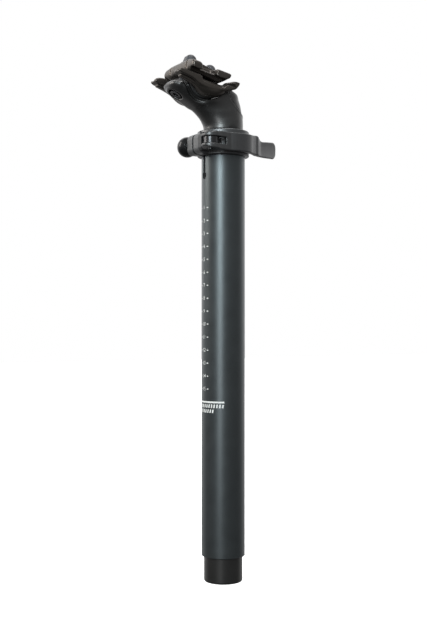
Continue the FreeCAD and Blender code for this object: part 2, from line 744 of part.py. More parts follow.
def make_upper_clamp():
    body = new_body("upper_clamp")
    place(body, D["seat_x"], 0.0, D["seat_z"], D["rail_lean"])
    base = D["rail_height"].value + 1.5
    sketch = new_sketch(body, "XZ_Plane")
    draw_outline(sketch, [(-14.0, base), (9.0, base), (14.8, 2.0), (14.0, 6.3), (-18.9, 5.8),
                          (-19.3, 2.2), (-16.4, base, 3.0)])
    add_feature(body, "Pad", sketch, SideType="Symmetric", Length=D["clamp_half_width"] * 2)
    doc.recompute()
    side = D["clamp_half_width"].value
    soften(body, "Fillet", 0.8, lambda edge: abs(abs(edge.CenterOfMass.y) - side) < 1e-3
           and edge.CenterOfMass.z > 0.0)
    # a raised back across the middle, with a flat for each nut, square to the bolts
    lean = math.radians(D["seat_lean"].value - D["rail_lean"].value)

    def at_bolt(front_way, up_way):
        return (front_way * math.cos(lean) + up_way * math.sin(lean),
                -front_way * math.sin(lean) + up_way * math.cos(lean))

    rear = -D["bolt_rear"].value
    front = D["bolt_front"].value
    rear_seat = D["nut_seat_rear"].value
    front_seat = D["nut_seat_front"].value
    sketch = new_sketch(body, "XZ_Plane")
    draw_outline(sketch, [(-18.6, 2.4), (13.6, 2.4), at_bolt(front + 6.0, front_seat),
                          at_bolt(front - 6.0, front_seat), at_bolt(rear + 6.0, rear_seat),
                          at_bolt(rear - 6.0, rear_seat)])
    add_feature(body, "Pad", sketch, SideType="Symmetric", Length=26.0)
    # a pocket that lets the front nut's flat down into the block
    pocket = [at_bolt(front + 7.4, front_seat), at_bolt(front + 7.4, front_seat + 12.0),
              at_bolt(front - 7.0, front_seat + 12.0), at_bolt(front - 7.0, front_seat)]
    sketch = new_sketch(body, "XZ_Plane")
    draw_outline(sketch, pocket)
    remove(body, sketch, SideType="Symmetric", Length=13.0)
    rail_grooves(body)
    # a notch in each side
    notch = [(-11.4, 9.0), (-11.0, 2.5), (0.4, 2.5), (3.0, 9.0)]
    cut_between(body, notch, 14.0, D["clamp_half_width"] + 1.0)
    bolt_slot(body, at_bolt(rear, 2.4)[0], 9.0)
    bolt_slot(body, at_bolt(front, 3.2)[0], 9.6)


def make_nut(name, front_way, seat):
    """A hexagon nut with a domed end, along its bolt."""
    body = new_body(name)
    point = seat_point(front_way, seat + NUT_WASHER + 0.3)
    place(body, point.x, 0.0, point.z, D["seat_lean"])
    flat = 4.6
    corner = flat / math.cos(math.pi / 6)
    sketch = new_sketch(body, "XY_Plane")
    corners = []
    for step in range(6):
        angle = math.pi / 6 + step * math.pi / 3
        corners.append((corner * math.cos(angle), corner * math.sin(angle)))
    draw_outline(sketch, corners)
    add_feature(body, "Pad", sketch, Length=4.2)
    sketch = new_sketch(body, "XZ_Plane")
    rim = 4.3
    dome = 4.7
    shoulder = 4.8
    crown = shoulder - math.sqrt(dome ** 2 - rim ** 2) + dome
    draw_outline(sketch, [(0.0, 2.0), (rim, 2.0), (rim, shoulder), (0.0, crown, dome)])
    spin(body, sketch)
    sketch = new_sketch(body, "XY_Plane")
    draw_circle(sketch, 0.0, 0.0, D["bolt_width"] / 2 + 0.05)
    remove(body, sketch, Length=5.6, Reversed=True)


NUT_WASHER = 2.2


def make_nut_washer(name, front_way, seat):
    """A washer with a rounded underside, which rolls on the clamp's flat as the clamp tilts."""
    body = new_body(name)
    point = seat_point(front_way, seat + 0.2)
    place(body, point.x, 0.0, point.z, D["seat_lean"])
    half = 4.6
    roll = 9.0
    rise = roll - math.sqrt(roll ** 2 - half ** 2)
    sketch = new_sketch(body, "XZ_Plane")
    draw_outline(sketch, [(-half, rise), (half, rise, roll), (half, NUT_WASHER), (-half, NUT_WASHER)])
    add_feature(body, "Pad", sketch, SideType="Symmetric", Length=10.4)
    sketch = new_sketch(body, "XY_Plane")
    draw_circle(sketch, 0.0, 0.0, D["bolt_width"] / 2 + 0.2)
    remove(body, sketch, SideType="Symmetric", Length=20.0)


make_outer_tube()
make_top_bush()
make_wiper_ring()
make_collar()
make_cam_washer()
washer_on_skewer("nut_washer", D["ear_face"], D["nut_base"] - D["ear_face"], 4.9, 2.8)
make_skewer()
make_pivot_pin()
make_lever()
make_adjusting_nut()
make_nut_lock_insert()
make_inner_tube()
make_glide_ring()
make_foot_plug()
make_neck()
make_neck_insert()
make_elastomer_pad()
make_rocker_cup()
make_bolts()
make_lower_cradle()
make_upper_clamp()
make_nut("rear_nut", -D["bolt_rear"].value, D["nut_seat_rear"].value)
make_nut("front_nut", D["bolt_front"].value, D["nut_seat_front"].value)
make_nut_washer("rear_nut_washer", -D["bolt_rear"].value, D["nut_seat_rear"].value)
make_nut_washer("front_nut_washer", D["bolt_front"].value, D["nut_seat_front"].value)
doc.recompute()

os.makedirs("parts", exist_ok=True)
parts = [o for o in doc.Objects if o.TypeId in ("PartDesign::Body",)
         or (o.TypeId == "Part::Feature" and not o.InList)]
for thing in doc.Objects:
    if "Invalid" in thing.State or "Error" in thing.State:
        raise RuntimeError("%s failed: %s" % (thing.Name, thing.State))
for part in parts:
    if part.Shape.isNull() or not part.Shape.isValid():
        raise RuntimeError("%s has no valid shape" % part.Label)
for part in parts:
    part.Shape.exportStep("parts/%s.step" % part.Label)
    print(part.Label, len(part.Shape.Solids), round(part.Shape.Volume, 1))
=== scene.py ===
"""Suspension seatpost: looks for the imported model, in metres, in the same frame as the CAD."""
import json
import math

import bmesh
import bpy
import numpy as np
from mathutils import Matrix, Vector


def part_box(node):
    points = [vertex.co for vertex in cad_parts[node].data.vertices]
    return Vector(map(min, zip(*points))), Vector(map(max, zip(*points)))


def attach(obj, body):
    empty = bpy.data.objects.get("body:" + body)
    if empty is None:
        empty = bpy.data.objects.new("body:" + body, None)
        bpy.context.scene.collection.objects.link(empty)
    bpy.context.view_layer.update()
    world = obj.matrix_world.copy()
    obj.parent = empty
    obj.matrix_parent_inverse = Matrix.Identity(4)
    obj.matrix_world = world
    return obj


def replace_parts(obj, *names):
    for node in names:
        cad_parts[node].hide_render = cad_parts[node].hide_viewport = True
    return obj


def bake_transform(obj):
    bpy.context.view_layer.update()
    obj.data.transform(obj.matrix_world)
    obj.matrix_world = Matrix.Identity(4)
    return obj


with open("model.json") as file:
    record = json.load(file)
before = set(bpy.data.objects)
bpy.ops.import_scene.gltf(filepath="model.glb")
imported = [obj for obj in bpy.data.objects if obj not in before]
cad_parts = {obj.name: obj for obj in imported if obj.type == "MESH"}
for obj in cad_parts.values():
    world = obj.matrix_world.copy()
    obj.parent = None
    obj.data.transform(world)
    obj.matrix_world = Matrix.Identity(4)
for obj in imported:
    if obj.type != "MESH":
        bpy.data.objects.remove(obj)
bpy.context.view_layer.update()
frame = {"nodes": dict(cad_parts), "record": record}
nodes = frame["nodes"]
MM = 0.001

# The camera: level, to the rear right of the post, and turned a little off it.
LOOK = Vector((0.5, math.sqrt(0.75), 0))
RIGHT = Vector((LOOK.y, -LOOK.x, 0))
UP = Vector((0, 0, 1))
CAMERA_DISTANCE = 0.813
CAMERA_HEIGHT = 0.2035
CAMERA_LENS = 58.5
CAMERA_PAN = math.radians(0.534)

# The print on the back of the tube: a scale of numbers with a tick on each side, a line under it, whose
# arc is in degrees, and two rows of hatch bars.
TUBE_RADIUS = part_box("outer_tube")[1].y
SCALE_STEP = 10 * MM
SCALE_NUMBERS = 15
LINE_HEIGHT = 140.3 * MM
LINE_HALF_ARC = 63
LINE_HALF_HEIGHT = 0.65 * MM
LINE_STEPS = 48
NUMBER_SIZE = 4.1 * MM
TICK_SIDE = 4.3 * MM
TICK_HALF_LENGTH = 0.8 * MM
TICK_HALF_HEIGHT = 0.35 * MM
PRINT_LIFT = 0.05 * MM

# The rows of hatch bars: half their arc in degrees, and their foot and top from the line in
# millimetres.
HATCH_ROWS = [(LINE_HALF_ARC, -4.4, -1.7), (35, -8.2, -5.6)]
HATCH_PITCH = 2.3 * MM
HATCH_WIDTH = 1.2 * MM
HATCH_SLANT = 0.5 * MM

# Lengths from here down to the grids are in millimetres.

# The saddle clamp's seat: its axis, the bolts' lean, the rails' lean, and the bolts' places to the
# front of the axis.
SEAT = Vector((-21.5, 0, 388.0))
BOLT_LEAN = math.radians(25.5)
RAIL_LEAN = math.radians(12.0)
REAR_BOLT = -13.0
FRONT_BOLT = 4.7

# The neck. Outlines hold (x, z), and a section is (underside point, topside point, half width,
# squareness).
NECK_SECTIONS = [
    ((-15.4, 350.6), (15.4, 350.6), 15.4, 2.0),
    ((-15.6, 354.0), (15.6, 356.2), 15.4, 2.0),
    ((-18.4, 359.0), (14.9, 364.6), 15.3, 2.1),
    ((-24.2, 364.4), (12.9, 373.4), 15.0, 2.3),
    ((-30.6, 368.0), (9.0, 381.4), 14.8, 3.0),
    ((-36.4, 371.1), (-2.0, 389.0), 14.5, 3.0),
    ((-41.8, 374.3), (-29.0, 390.4), 14.0, 2.6),
    ((-46.2, 377.6), (-40.0, 386.4), 12.6, 2.4),
    ((-48.8, 381.0), (-46.0, 385.4), 9.8, 2.3),
]
HORN_TRIM = [(-9.0, 389.4), (-4.0, 384.8), (1.0, 381.6), (7.0, 379.4), (11.4, 377.6), (24.0, 374.0),
             (24.0, 396.0), (-9.0, 396.0)]
RIM_TRIM = [(-44.0, 386.3), (-37.0, 386.3), (-36.0, 392.0), (-44.0, 392.0)]
COVER = [(-3.2, 379.4), (-1.4, 373.2), (5.8, 366.4), (12.0, 363.0), (24.0, 358.0), (24.0, 392.0),
         (-0.5, 392.0)]

NECK_BASE = 350.6
NECK_REAR_END = (-48.9, 383.4)
SECTION_BLUR = 0.6
SECTION_FALL = -3.0
SEAT_RADIUS = 16.5
SPIGOT_RADIUS = 13.5
SPIGOT_MIDDLE = 330.6
SPIGOT_HALF = 22.0
BORE_RADIUS = 10.5
BORE_TOP = 362.0

# The shallow valley in the neck's sides round the seat, and the low ridge outside it: how deep or
# high, how far from the seat's axis, and how wide. Both rise over the first pair of angles and fade
# over the second, in degrees from straight back, counted downwards round the seat's axis.
VALLEY = (3.6, 18.1, 1.35)
RIDGE = (0.3, 20.6, 1.2)
VALLEY_REAR_FADE = (-25, -5)
VALLEY_FRONT_FADE = (62, 98)

# The radii of the neck's bolt holes, how deep they start, and the boss and recess round the rear
# bolt's head. Heights are along the bolts, from the seat's axis.
REAR_HOLE = 2.75
FRONT_HOLE = 2.5
HOLE_FOOT = -21.0
BOSS_RADIUS = 6.9
BOSS_MIDDLE = -16.8
BOSS_HALF = 2.5
RECESS_RADIUS = 5.7
RECESS_TOP = -16.5

# The cover in the neck: its gap all round, how far it lies under the neck's surface, and the lip
# beside its seam as height, distance from the seam, and width.
COVER_GAP = 0.12
COVER_SUNK = 0.45
COVER_LIP = (0.35, 0.5, 0.7)

# The rubber pad: a part of a ring round the seat's axis with ribs across it.
PAD_RADIUS = 14.1
PAD_HALF_THICKNESS = 1.9
PAD_HALF_WIDTH = 12.4
PAD_HALF_ARC = math.radians(58)
PAD_RIB_HEIGHT = 0.14
PAD_RIB_PITCH = 3.1
PAD_HOLE = 3.0

# The lever: its pivot and its centre line as (x, y), and its side outline as (x, z). The arm goes from
# its root through nine points of an arc round the post, given in degrees, to the thumb tab.
PIVOT = (-22.8, -21.0)
PIN_HOLE = 2.05
LEVER_ROOT = [(-20.0, -24.4), (-13.0, -23.6)]
LEVER_BEND = 23.3
LEVER_BEND_START = -108.0
LEVER_BEND_STEP = 6.0
LEVER_BEND_STEPS = 9
LEVER_TAB = [(15.0, -17.6), (21.6, -13.2), (27.5, -9.9), (35.0, -5.9), (44.0, -0.9), (49.2, 2.1)]
LEVER_SIDE = [(-34.0, 332.0), (15.0, 332.0), (21.0, 331.7), (28.0, 331.4), (36.0, 331.8), (44.0, 332.5),
              (47.0, 332.7), (50.4, 336.0), (50.4, 342.6), (47.0, 345.9), (44.0, 345.7), (35.0, 344.5),
              (29.0, 343.7), (25.0, 345.4), (21.5, 347.4), (15.0, 346.0), (-34.0, 346.0)]
ARM_HALF_THICKNESS = 1.85
TAB_START = (24.0, 29.0)
TAB_THINNING = 0.65
TAB_HOLLOW = 0.9
TAB_MIDDLE = 338.5
TAB_HALF_HEIGHT = 6.0
FOLD = (21.6, -13.3)
FOLD_RADIUS = 2.1
LEVER_BOSS_RADIUS = 6.8
LEVER_BOSS_SHIFT = 0.8
WINDOW_MIDDLE = 339.0
WINDOW_HALF = 2.6
WINDOW_END = -11.4

# The rail clamp in its own axes, about the seat's axis. A name that ends in SIDE is a distance from the
# middle plane, and HALF is how far a part reaches either way from there.
CLAMP_HALF = 24.8
RAIL_SIDE = 21.5
RAIL_HEIGHT = -2.3
RAIL_GROOVE = 3.5

# The lower half: outlines, the drum with a disc at each end, the bowl, the rib, the tabs and the scoop.
CRADLE_WING = [(-28.9, -3.4), (-21.9, -1.7), (-17.2, -2.1), (-12.3, -3.5), (-8.0, -4.2), (8.0, -4.2),
               (12.7, -3.0), (15.5, -0.5), (18.3, 0.7), (22.8, 1.0), (23.1, -0.4), (20.9, -4.8),
               (18.1, -6.3), (12.0, -9.4), (-9.0, -12.0), (-15.8, -8.7), (-20.6, -8.0), (-29.2, -7.3)]
CRADLE_RIB = [(-25.0, -8.2), (-17.8, -9.2), (-13.0, -10.3), (-9.5, -11.6)]
CRADLE_TAB = [(13.0, -5.8), (21.7, -3.8), (24.5, -2.3), (26.7, 2.2), (26.4, 3.7), (21.9, 3.4),
              (18.0, 1.4), (12.0, -1.5)]
CRADLE_SCOOP = [(-12.0, 3.0), (-8.6, -7.4), (-3.6, -7.8), (1.5, -7.6), (6.7, -8.0), (9.4, -7.4),
                (11.1, -5.9), (12.7, -3.6), (14.6, 3.0)]
DRUM_RADIUS = 10.3
DRUM_HALF = 13.4
DRUM_TOP = -2.9
DISC_RADIUS = 13.2
DISC_SIDE = 14.4
DISC_HALF = 1.5
WING_SIDE = 20.0
WING_HALF = 4.8
BOWL_RADIUS = 16.3
BOWL_TOP = -6.4
BOWL_INNER_SIDE = 15.2
RIB_RADIUS = 1.2
RIB_SIDE = 19.5
RIB_HALF = 2.3
CRADLE_TAB_SIDE = 16.6
CRADLE_TAB_HALF = 1.4
SCOOP_SIDE = 22.1

# The upper half: outlines, how its top falls to the sides, the crease, the notch and the nuts' pockets.
CLAMP_BLOCK = [(-16.0, -0.9), (-11.0, -1.0), (0.6, -1.6), (5.5, -2.3), (9.9, -1.8), (14.8, 2.3),
               (14.4, 6.4), (1.0, 6.4), (-11.5, 6.4), (-18.9, 6.2), (-19.3, 1.4)]
CLAMP_SHOULDER = [(-19.3, 1.0), (-11.6, 1.0), (-11.9, 9.4), (-18.9, 9.4)]
CLAMP_BACK = [(-18.9, 2.4), (13.6, 2.4), (12.4, 6.6), (-1.0, 8.2), (-5.4, 8.9), (-13.0, 8.8),
              (-18.7, 8.5)]
BLOCK_TOP = 6.1
BLOCK_FALL = (0.9, 16, 25)
BACK_HALF = 13.0
SHOULDER_TOP = 8.5
SHOULDER_FALLS = [(1.3, 13.0, 19.0), (1.2, 18.0, 25.5)]
CREASE = (-19.4, 13.2)
CREASE_RADIUS = 0.95
NOTCH_MIDDLE = -4.5
NOTCH_HALF = 6.4
NOTCH_INNER_SIDE = 14.0
NOTCH_FOOT = -0.9
NOTCH_SLOPE = 0.42

# The pockets under the nuts: the bolt, how far off it the pocket is, its half length and its floor.
POCKETS = [(FRONT_BOLT, 0.2, 7.2, 6.5), (REAR_BOLT, 0.0, 6.2, 4.5)]
POCKET_HALF = 6.5

# The slots that the bolts pass, as the middle and half the straight length, and the ends' radius.
CRADLE_SLOT = (3.2, 2.15)
CLAMP_SLOTS = [(-11.8, 1.55), (6.2, 1.85)]
SLOT_RADIUS = 2.95

# The grids that rounded forms are taken from, and how their points are drawn to their neighbours.
CELL = 0.42
FINE_CELL = 0.32
SMOOTHING_ROUNDS = 3
OWN_SHARE = 0.45
NEIGHBOUR_SHARE = 0.55

# The sizes of uneven patches and of scuffs in the finishes, and the colours that edges wear to.
PATCH_SIZE = 14 * MM
SCUFF_SIZE = 1.2 * MM
GREY = (0.09, 0.095, 0.1)
BARE = (0.35, 0.35, 0.36)

# Each finish: colour, metallic, roughness, then the size and height of its grain in millimetres, how
# far its edges are rubbed and to which colour, how far they are softened in millimetres, and how many
# times closer the grain lies along the post.
FINISHES = {
    "tube_black": ((0.09, 0.101, 0.106), 0.9, 0.39, 0.35, 0.012, 0.35, BARE, 0.35, 3),
    "inner_black": ((0.08, 0.079, 0.078), 0.9, 0.34, 0.3, 0.01, 0.4, BARE, 0.35, 4),
    "collar_black": ((0.115, 0.117, 0.12), 0.85, 0.4, 0.25, 0.015, 0.18, BARE, 0.35, 1),
    "lever_black": ((0.10, 0.101, 0.103), 0.85, 0.40, 0.3, 0.015, 0.5, BARE, 0.5, 1),
    "head_black": ((0.094, 0.094, 0.094), 0.92, 0.37, 0.28, 0.015, 0.3, BARE, 0.5, 1),
    "clamp_black": ((0.088, 0.078, 0.07), 0.88, 0.33, 0.3, 0.02, 0.45, BARE, 0.4, 1),
    "nut_black": ((0.032, 0.032, 0.034), 0.8, 0.28, 0.3, 0.008, 0.3, BARE, 0.35, 1),
    "black_steel": ((0.07, 0.07, 0.075), 0.9, 0.38, 0.2, 0.01, 0.6, BARE, 0.25, 1),
    "steel": ((0.07, 0.07, 0.073), 1.0, 0.3, 0.2, 0.006, 0.2, BARE, 0.25, 1),
    "black_plastic": ((0.028, 0.028, 0.03), 0.0, 0.5, 0.3, 0.02, 0.2, GREY, 0.35, 1),
    "black_rubber": ((0.035, 0.035, 0.036), 0.0, 0.62, 0.35, 0.03, 0.1, GREY, 0.35, 1),
    "white_print": ((0.78, 0.78, 0.76), 0.0, 0.5, 0.15, 0.006, 0.0, BARE, 0.02, 1),
}


# ---------------------------------------------------------------- materials

def add_node(tree, kind, settings=None, inputs=None):
    """Adds a node; an input is a value, or an output socket to link from."""
    made = tree.nodes.new(kind)
    for name, value in (settings or {}).items():
        setattr(made, name, value)
    for name, value in (inputs or {}).items():
        if isinstance(value, bpy.types.NodeSocket):
            tree.links.new(value, made.inputs[name])
        else:
            made.inputs[name].default_value = value
    return made


def remap(tree, value, low, high, to_low, to_high):
    """The value's range low to high becomes to_low to to_high."""
    made = add_node(tree, "ShaderNodeMapRange", None, {
        "Value": value, "From Min": low, "From Max": high, "To Min": to_low, "To Max": to_high})
    return made.outputs["Result"]


def times(tree, first, second):
    """The product of two values."""
    made = add_node(tree, "ShaderNodeMath", {"operation": "MULTIPLY"})
    for socket, value in zip(made.inputs, (first, second)):
        if isinstance(value, bpy.types.NodeSocket):
            tree.links.new(value, socket)
        else:
            socket.default_value = value
    return made.outputs["Value"]


def mix_colour(tree, share, first, second):
    """A colour between two, each a colour or an output socket."""
    made = add_node(tree, "ShaderNodeMix", {"data_type": "RGBA"})
    tree.links.new(share, made.inputs[0])
    for socket, colour in ((made.inputs[6], first), (made.inputs[7], second)):
        if isinstance(colour, bpy.types.NodeSocket):
            tree.links.new(colour, socket)
        else:
            socket.default_value = (*colour, 1)
    return made.outputs[2]


def noise(tree, place, size, detail=3):
    """Soft noise whose patches are about size metres across."""
    made = add_node(tree, "ShaderNodeTexNoise", None, {
        "Vector": place, "Scale": 1 / size, "Detail": detail, "Roughness": 0.6})
    return made.outputs["Fac"]


def scaled(colour, by):
    """The colour made lighter or darker."""
    return tuple(part * by for part in colour)


def make_finish(name, colour, metallic, roughness, grain, depth, wear, worn, round_edge, closer):
    """A finish with a fine grain, uneven tone and gloss, and lighter rubbed edges.

    grain is the size of the grain, depth its height, wear how far edges are rubbed to the colour
    worn, round_edge how far edges are softened, and closer how many times denser the grain is along
    the post."""
    material = bpy.data.materials.new(name)
    material.use_nodes = True
    tree = material.node_tree
    shader = tree.nodes["Principled BSDF"]
    place = add_node(tree, "ShaderNodeTexCoord").outputs["Object"]
    drawn_in = add_node(tree, "ShaderNodeVectorMath", {"operation": "MULTIPLY"})
    tree.links.new(place, drawn_in.inputs[0])
    drawn_in.inputs[1].default_value = (1, 1, closer)
    fine = noise(tree, drawn_in.outputs["Vector"], grain)
    patches = noise(tree, place, PATCH_SIZE)
    rounded = add_node(tree, "ShaderNodeBevel", {"samples": 4}, {"Radius": round_edge})
    flat = add_node(tree, "ShaderNodeNewGeometry")
    match = add_node(tree, "ShaderNodeVectorMath", {"operation": "DOT_PRODUCT"})
    tree.links.new(rounded.outputs["Normal"], match.inputs[0])
    tree.links.new(flat.outputs["Normal"], match.inputs[1])
    edge = remap(tree, match.outputs["Value"], 0.99, 0.86, 0, wear)
    rubbed = times(tree, edge, remap(tree, noise(tree, place, SCUFF_SIZE, 5), 0.42, 0.62, 0.15, 1))
    tone = mix_colour(tree, patches, scaled(colour, 0.82), scaled(colour, 1.18))
    grained = mix_colour(tree, remap(tree, fine, 0.35, 0.7, 0, 1), tone, scaled(colour, 1.3))
    tree.links.new(mix_colour(tree, rubbed, grained, worn), shader.inputs["Base Color"])
    gloss = remap(tree, fine, 0.3, 0.7, roughness - 0.04, roughness + 0.05)
    uneven = times(tree, gloss, remap(tree, patches, 0.3, 0.7, 0.94, 1.07))
    tree.links.new(uneven, shader.inputs["Roughness"])
    shader.inputs["Metallic"].default_value = metallic
    bump = add_node(tree, "ShaderNodeBump", None, {
        "Height": fine, "Distance": depth, "Strength": 0.6, "Normal": rounded.outputs["Normal"]})
    tree.links.new(bump.outputs["Normal"], shader.inputs["Normal"])
    return material


def make_finishes():
    """One finish for each material slot of the record, and the white print."""
    made = {}
    for name, row in FINISHES.items():
        colour, metallic, roughness, grain, depth, wear, worn, round_edge, closer = row
        made[name] = make_finish(
            name, colour, metallic, roughness, grain * MM, depth * MM, wear, worn, round_edge * MM, closer)
    return made


finishes = make_finishes()


def set_material(thing, material):
    """The object shows this one material."""
    thing.data.materials.clear()
    thing.data.materials.append(material)


def finish_cad_nodes():
    """Every CAD node gets the finish of its slot."""
    for part in frame["record"]["subparts"]:
        set_material(nodes[part["node"]], finishes[part["material_slot"]])


# ------------------------------------------------------------------- pieces

def make_piece(name, mesh, finish, body):
    """Links a mesh as a piece, which rides on a body when one is given."""
    piece = bpy.data.objects.new(name, mesh)
    bpy.context.scene.collection.objects.link(piece)
    set_material(piece, finishes[finish])
    if body:
        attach(piece, body)
    return piece


def letter_mesh(text, size):
    """The flat mesh of a short text, centred on the origin."""
    curve = bpy.data.curves.new("letters", "FONT")
    curve.body = text
    curve.size = size
    curve.align_x = "CENTER"
    curve.align_y = "CENTER"
    curve.resolution_u = 3
    thing = bpy.data.objects.new("letters", curve)
    bpy.context.scene.collection.objects.link(thing)
    bpy.context.view_layer.update()
    mesh = bpy.data.meshes.new_from_object(thing.evaluated_get(bpy.context.evaluated_depsgraph_get()))
    bpy.data.objects.remove(thing)
    return mesh


def add_bar(shape, left, right, low, high, slant=0.0, steps=1):
    """A flat bar, with its upper edge moved sideways by slant."""
    rows = []
    for step in range(steps + 1):
        across = left + (right - left) * step / steps
        rows.append((shape.verts.new((across, low, 0)), shape.verts.new((across + slant, high, 0))))
    for (low_a, high_a), (low_b, high_b) in zip(rows, rows[1:]):
        shape.faces.new((low_a, low_b, high_b, high_a))


def add_row(shape, half, low, high):
    """A row of slanted hatch bars that reaches half either side of the middle."""
    count = int(2 * half / HATCH_PITCH)
    for index in range(count):
        left = (index + 0.5 - count / 2) * HATCH_PITCH - HATCH_WIDTH / 2
        add_bar(shape, left, left + HATCH_WIDTH, low, high, HATCH_SLANT)


def make_printed_scale():
    """The numbers, ticks, line and hatch bars, drawn flat and then wrapped on the back of the tube."""
    shape = bmesh.new()
    for number in range(1, SCALE_NUMBERS + 1):
        height = LINE_HEIGHT + (SCALE_NUMBERS + 1 - number) * SCALE_STEP
        start = len(shape.verts)
        shape.from_mesh(letter_mesh(str(number), NUMBER_SIZE))
        shape.verts.ensure_lookup_table()
        for vertex in shape.verts[start:]:
            vertex.co.y += height
        for side in (-1, 1):
            middle = side * TICK_SIDE
            add_bar(shape, middle - TICK_HALF_LENGTH, middle + TICK_HALF_LENGTH,
                    height - TICK_HALF_HEIGHT, height + TICK_HALF_HEIGHT)
    arc = math.radians(LINE_HALF_ARC) * TUBE_RADIUS
    add_bar(shape, -arc, arc, LINE_HEIGHT - LINE_HALF_HEIGHT, LINE_HEIGHT + LINE_HALF_HEIGHT, 0, LINE_STEPS)
    for half_arc, foot, top in HATCH_ROWS:
        add_row(shape, math.radians(half_arc) * TUBE_RADIUS, LINE_HEIGHT + foot * MM, LINE_HEIGHT + top * MM)
    print_radius = TUBE_RADIUS + PRINT_LIFT
    for vertex in shape.verts:
        angle = math.pi + vertex.co.x / TUBE_RADIUS
        height = vertex.co.y
        vertex.co = (print_radius * math.cos(angle), print_radius * math.sin(angle), height)
    mesh = bpy.data.meshes.new("printed_scale")
    shape.to_mesh(mesh)
    shape.free()
    make_piece("printed_scale", mesh, "white_print", "outer_post")


# ----------------------------------------------------- rounded forms from fields

def union(first, second, soft):
    """Two forms joined with a fillet; a field is negative inside a form, in millimetres."""
    near = np.maximum(soft - np.abs(first - second), 0) / soft
    return np.minimum(first, second) - near * near * soft / 4


def common(first, second, soft):
    """What two forms share, with its edges rounded."""
    return -union(-first, -second, soft)


def without(first, second, soft):
    """The first form with the second cut out of it, with rounded edges."""
    return common(first, -second, soft)


def slab(value, middle, half):
    """Everything within half of a middle."""
    return np.abs(value - middle) - half


def rod(first, second, radius):
    """A round bar, from how far off its axis a point is in two directions."""
    return np.hypot(first, second) - radius


def ease(value, low, high):
    """0 below low, 1 above high, and a smooth rise between."""
    share = np.clip((value - low) / (high - low), 0, 1)
    return share * share * (3 - 2 * share)


def swell(value, middle, width):
    """1 at the middle, and a smooth fall to 0 on either side."""
    return np.exp(-((value - middle) / width) ** 2)


def rounded_outline(points, rounds):
    """A closed outline with its corners cut again and again."""
    for _ in range(rounds):
        finer = []
        for (x0, z0), (x1, z1) in zip(points, points[1:] + points[:1]):
            finer.append((x0 * 0.75 + x1 * 0.25, z0 * 0.75 + z1 * 0.25))
            finer.append((x0 * 0.25 + x1 * 0.75, z0 * 0.25 + z1 * 0.75))
        points = finer
    return points


def nearest_run(points, x, z, closed):
    """The squared distance to a run of straight lines."""
    ends = points[1:] + points[:1] if closed else points[1:]
    nearest = np.inf
    for (x0, z0), (x1, z1) in zip(points, ends):
        run_x, run_z = x1 - x0, z1 - z0
        share = ((x - x0) * run_x + (z - z0) * run_z) / (run_x ** 2 + run_z ** 2)
        share = np.clip(share, 0, 1)
        nearest = np.minimum(nearest, (x - x0 - run_x * share) ** 2 + (z - z0 - run_z * share) ** 2)
    return nearest


def outline_field(points, x, z):
    """Signed distance to a closed outline in the plane of x and z."""
    inside = False
    for (x0, z0), (x1, z1) in zip(points, points[1:] + points[:1]):
        if z0 == z1:
            continue
        crosses = ((z0 <= z) != (z1 <= z)) & (x < x0 + (z - z0) * (x1 - x0) / (z1 - z0))
        inside = inside ^ crosses
    return np.sqrt(nearest_run(points, x, z, True)) * np.where(inside, -1, 1)


def smooth_outline_field(points, x, z, rounds=2):
    """Signed distance to an outline whose corners are rounded."""
    return outline_field(rounded_outline(points, rounds), x, z)


def edge_crossings(values, axis):
    """For each grid edge along an axis: if it is crossed, how far along, and if it starts inside."""
    near = np.take(values, range(values.shape[axis] - 1), axis)
    far = np.take(values, range(1, values.shape[axis]), axis)
    crossed = (near < 0) != (far < 0)
    share = np.where(crossed, near / np.where(crossed, near - far, 1), 0)
    return crossed, share, near < 0


def cell_points(crossings, cells):
    """Each passed cell's number, and a point in it at the mean of its crossings, counted in cells."""
    total = np.zeros(cells + [3])
    number = np.zeros(cells)
    for axis, (crossed, share, _) in enumerate(crossings):
        others = [other for other in range(3) if other != axis]
        for steps in ((0, 0), (0, 1), (1, 0), (1, 1)):
            window = [slice(None)] * 3
            for other, step in zip(others, steps):
                window[other] = slice(step, step + cells[other])
            here = crossed[tuple(window)]
            number += here
            total[..., axis] += share[tuple(window)]
            for other, step in zip(others, steps):
                total[..., other] += step * here
    active = number > 0
    order = np.cumsum(active).reshape(active.shape) - 1
    offset = total[active] / number[active][:, None]
    return order, np.argwhere(active) + offset


def cell_faces(crossings, order, cells):
    """A face across each crossed grid edge, between the points of the four cells beside it."""
    faces = []
    for axis, (crossed, _, starts_inside) in enumerate(crossings):
        first, second = [other for other in range(3) if other != axis]
        spots = np.argwhere(crossed)
        keep = (spots[:, first] > 0) & (spots[:, second] > 0)
        keep &= (spots[:, first] < cells[first]) & (spots[:, second] < cells[second])
        spots = spots[keep]
        ring = []
        for step_first, step_second in ((1, 1), (0, 1), (0, 0), (1, 0)):
            beside = spots.copy()
            beside[:, first] -= step_first
            beside[:, second] -= step_second
            ring.append(order[tuple(beside.T)])
        quads = np.stack(ring, 1)
        forward = starts_inside[tuple(spots.T)] ^ (axis == 1)
        faces.append(np.where(forward[:, None], quads, quads[:, ::-1]))
    return np.concatenate(faces)


def smoothed(points, faces):
    """The points drawn towards the mean of their neighbours, a few times over."""
    ends = np.concatenate([faces, np.roll(faces, -1, 1)]).ravel()
    others = np.concatenate([np.roll(faces, -1, 1), faces]).ravel()
    degree = np.bincount(ends, minlength=len(points))[:, None]
    for _ in range(SMOOTHING_ROUNDS):
        pulls = [np.bincount(ends, points[others, axis], len(points)) for axis in range(3)]
        points = points * OWN_SHARE + np.stack(pulls, 1) / degree * NEIGHBOUR_SHARE
    return points


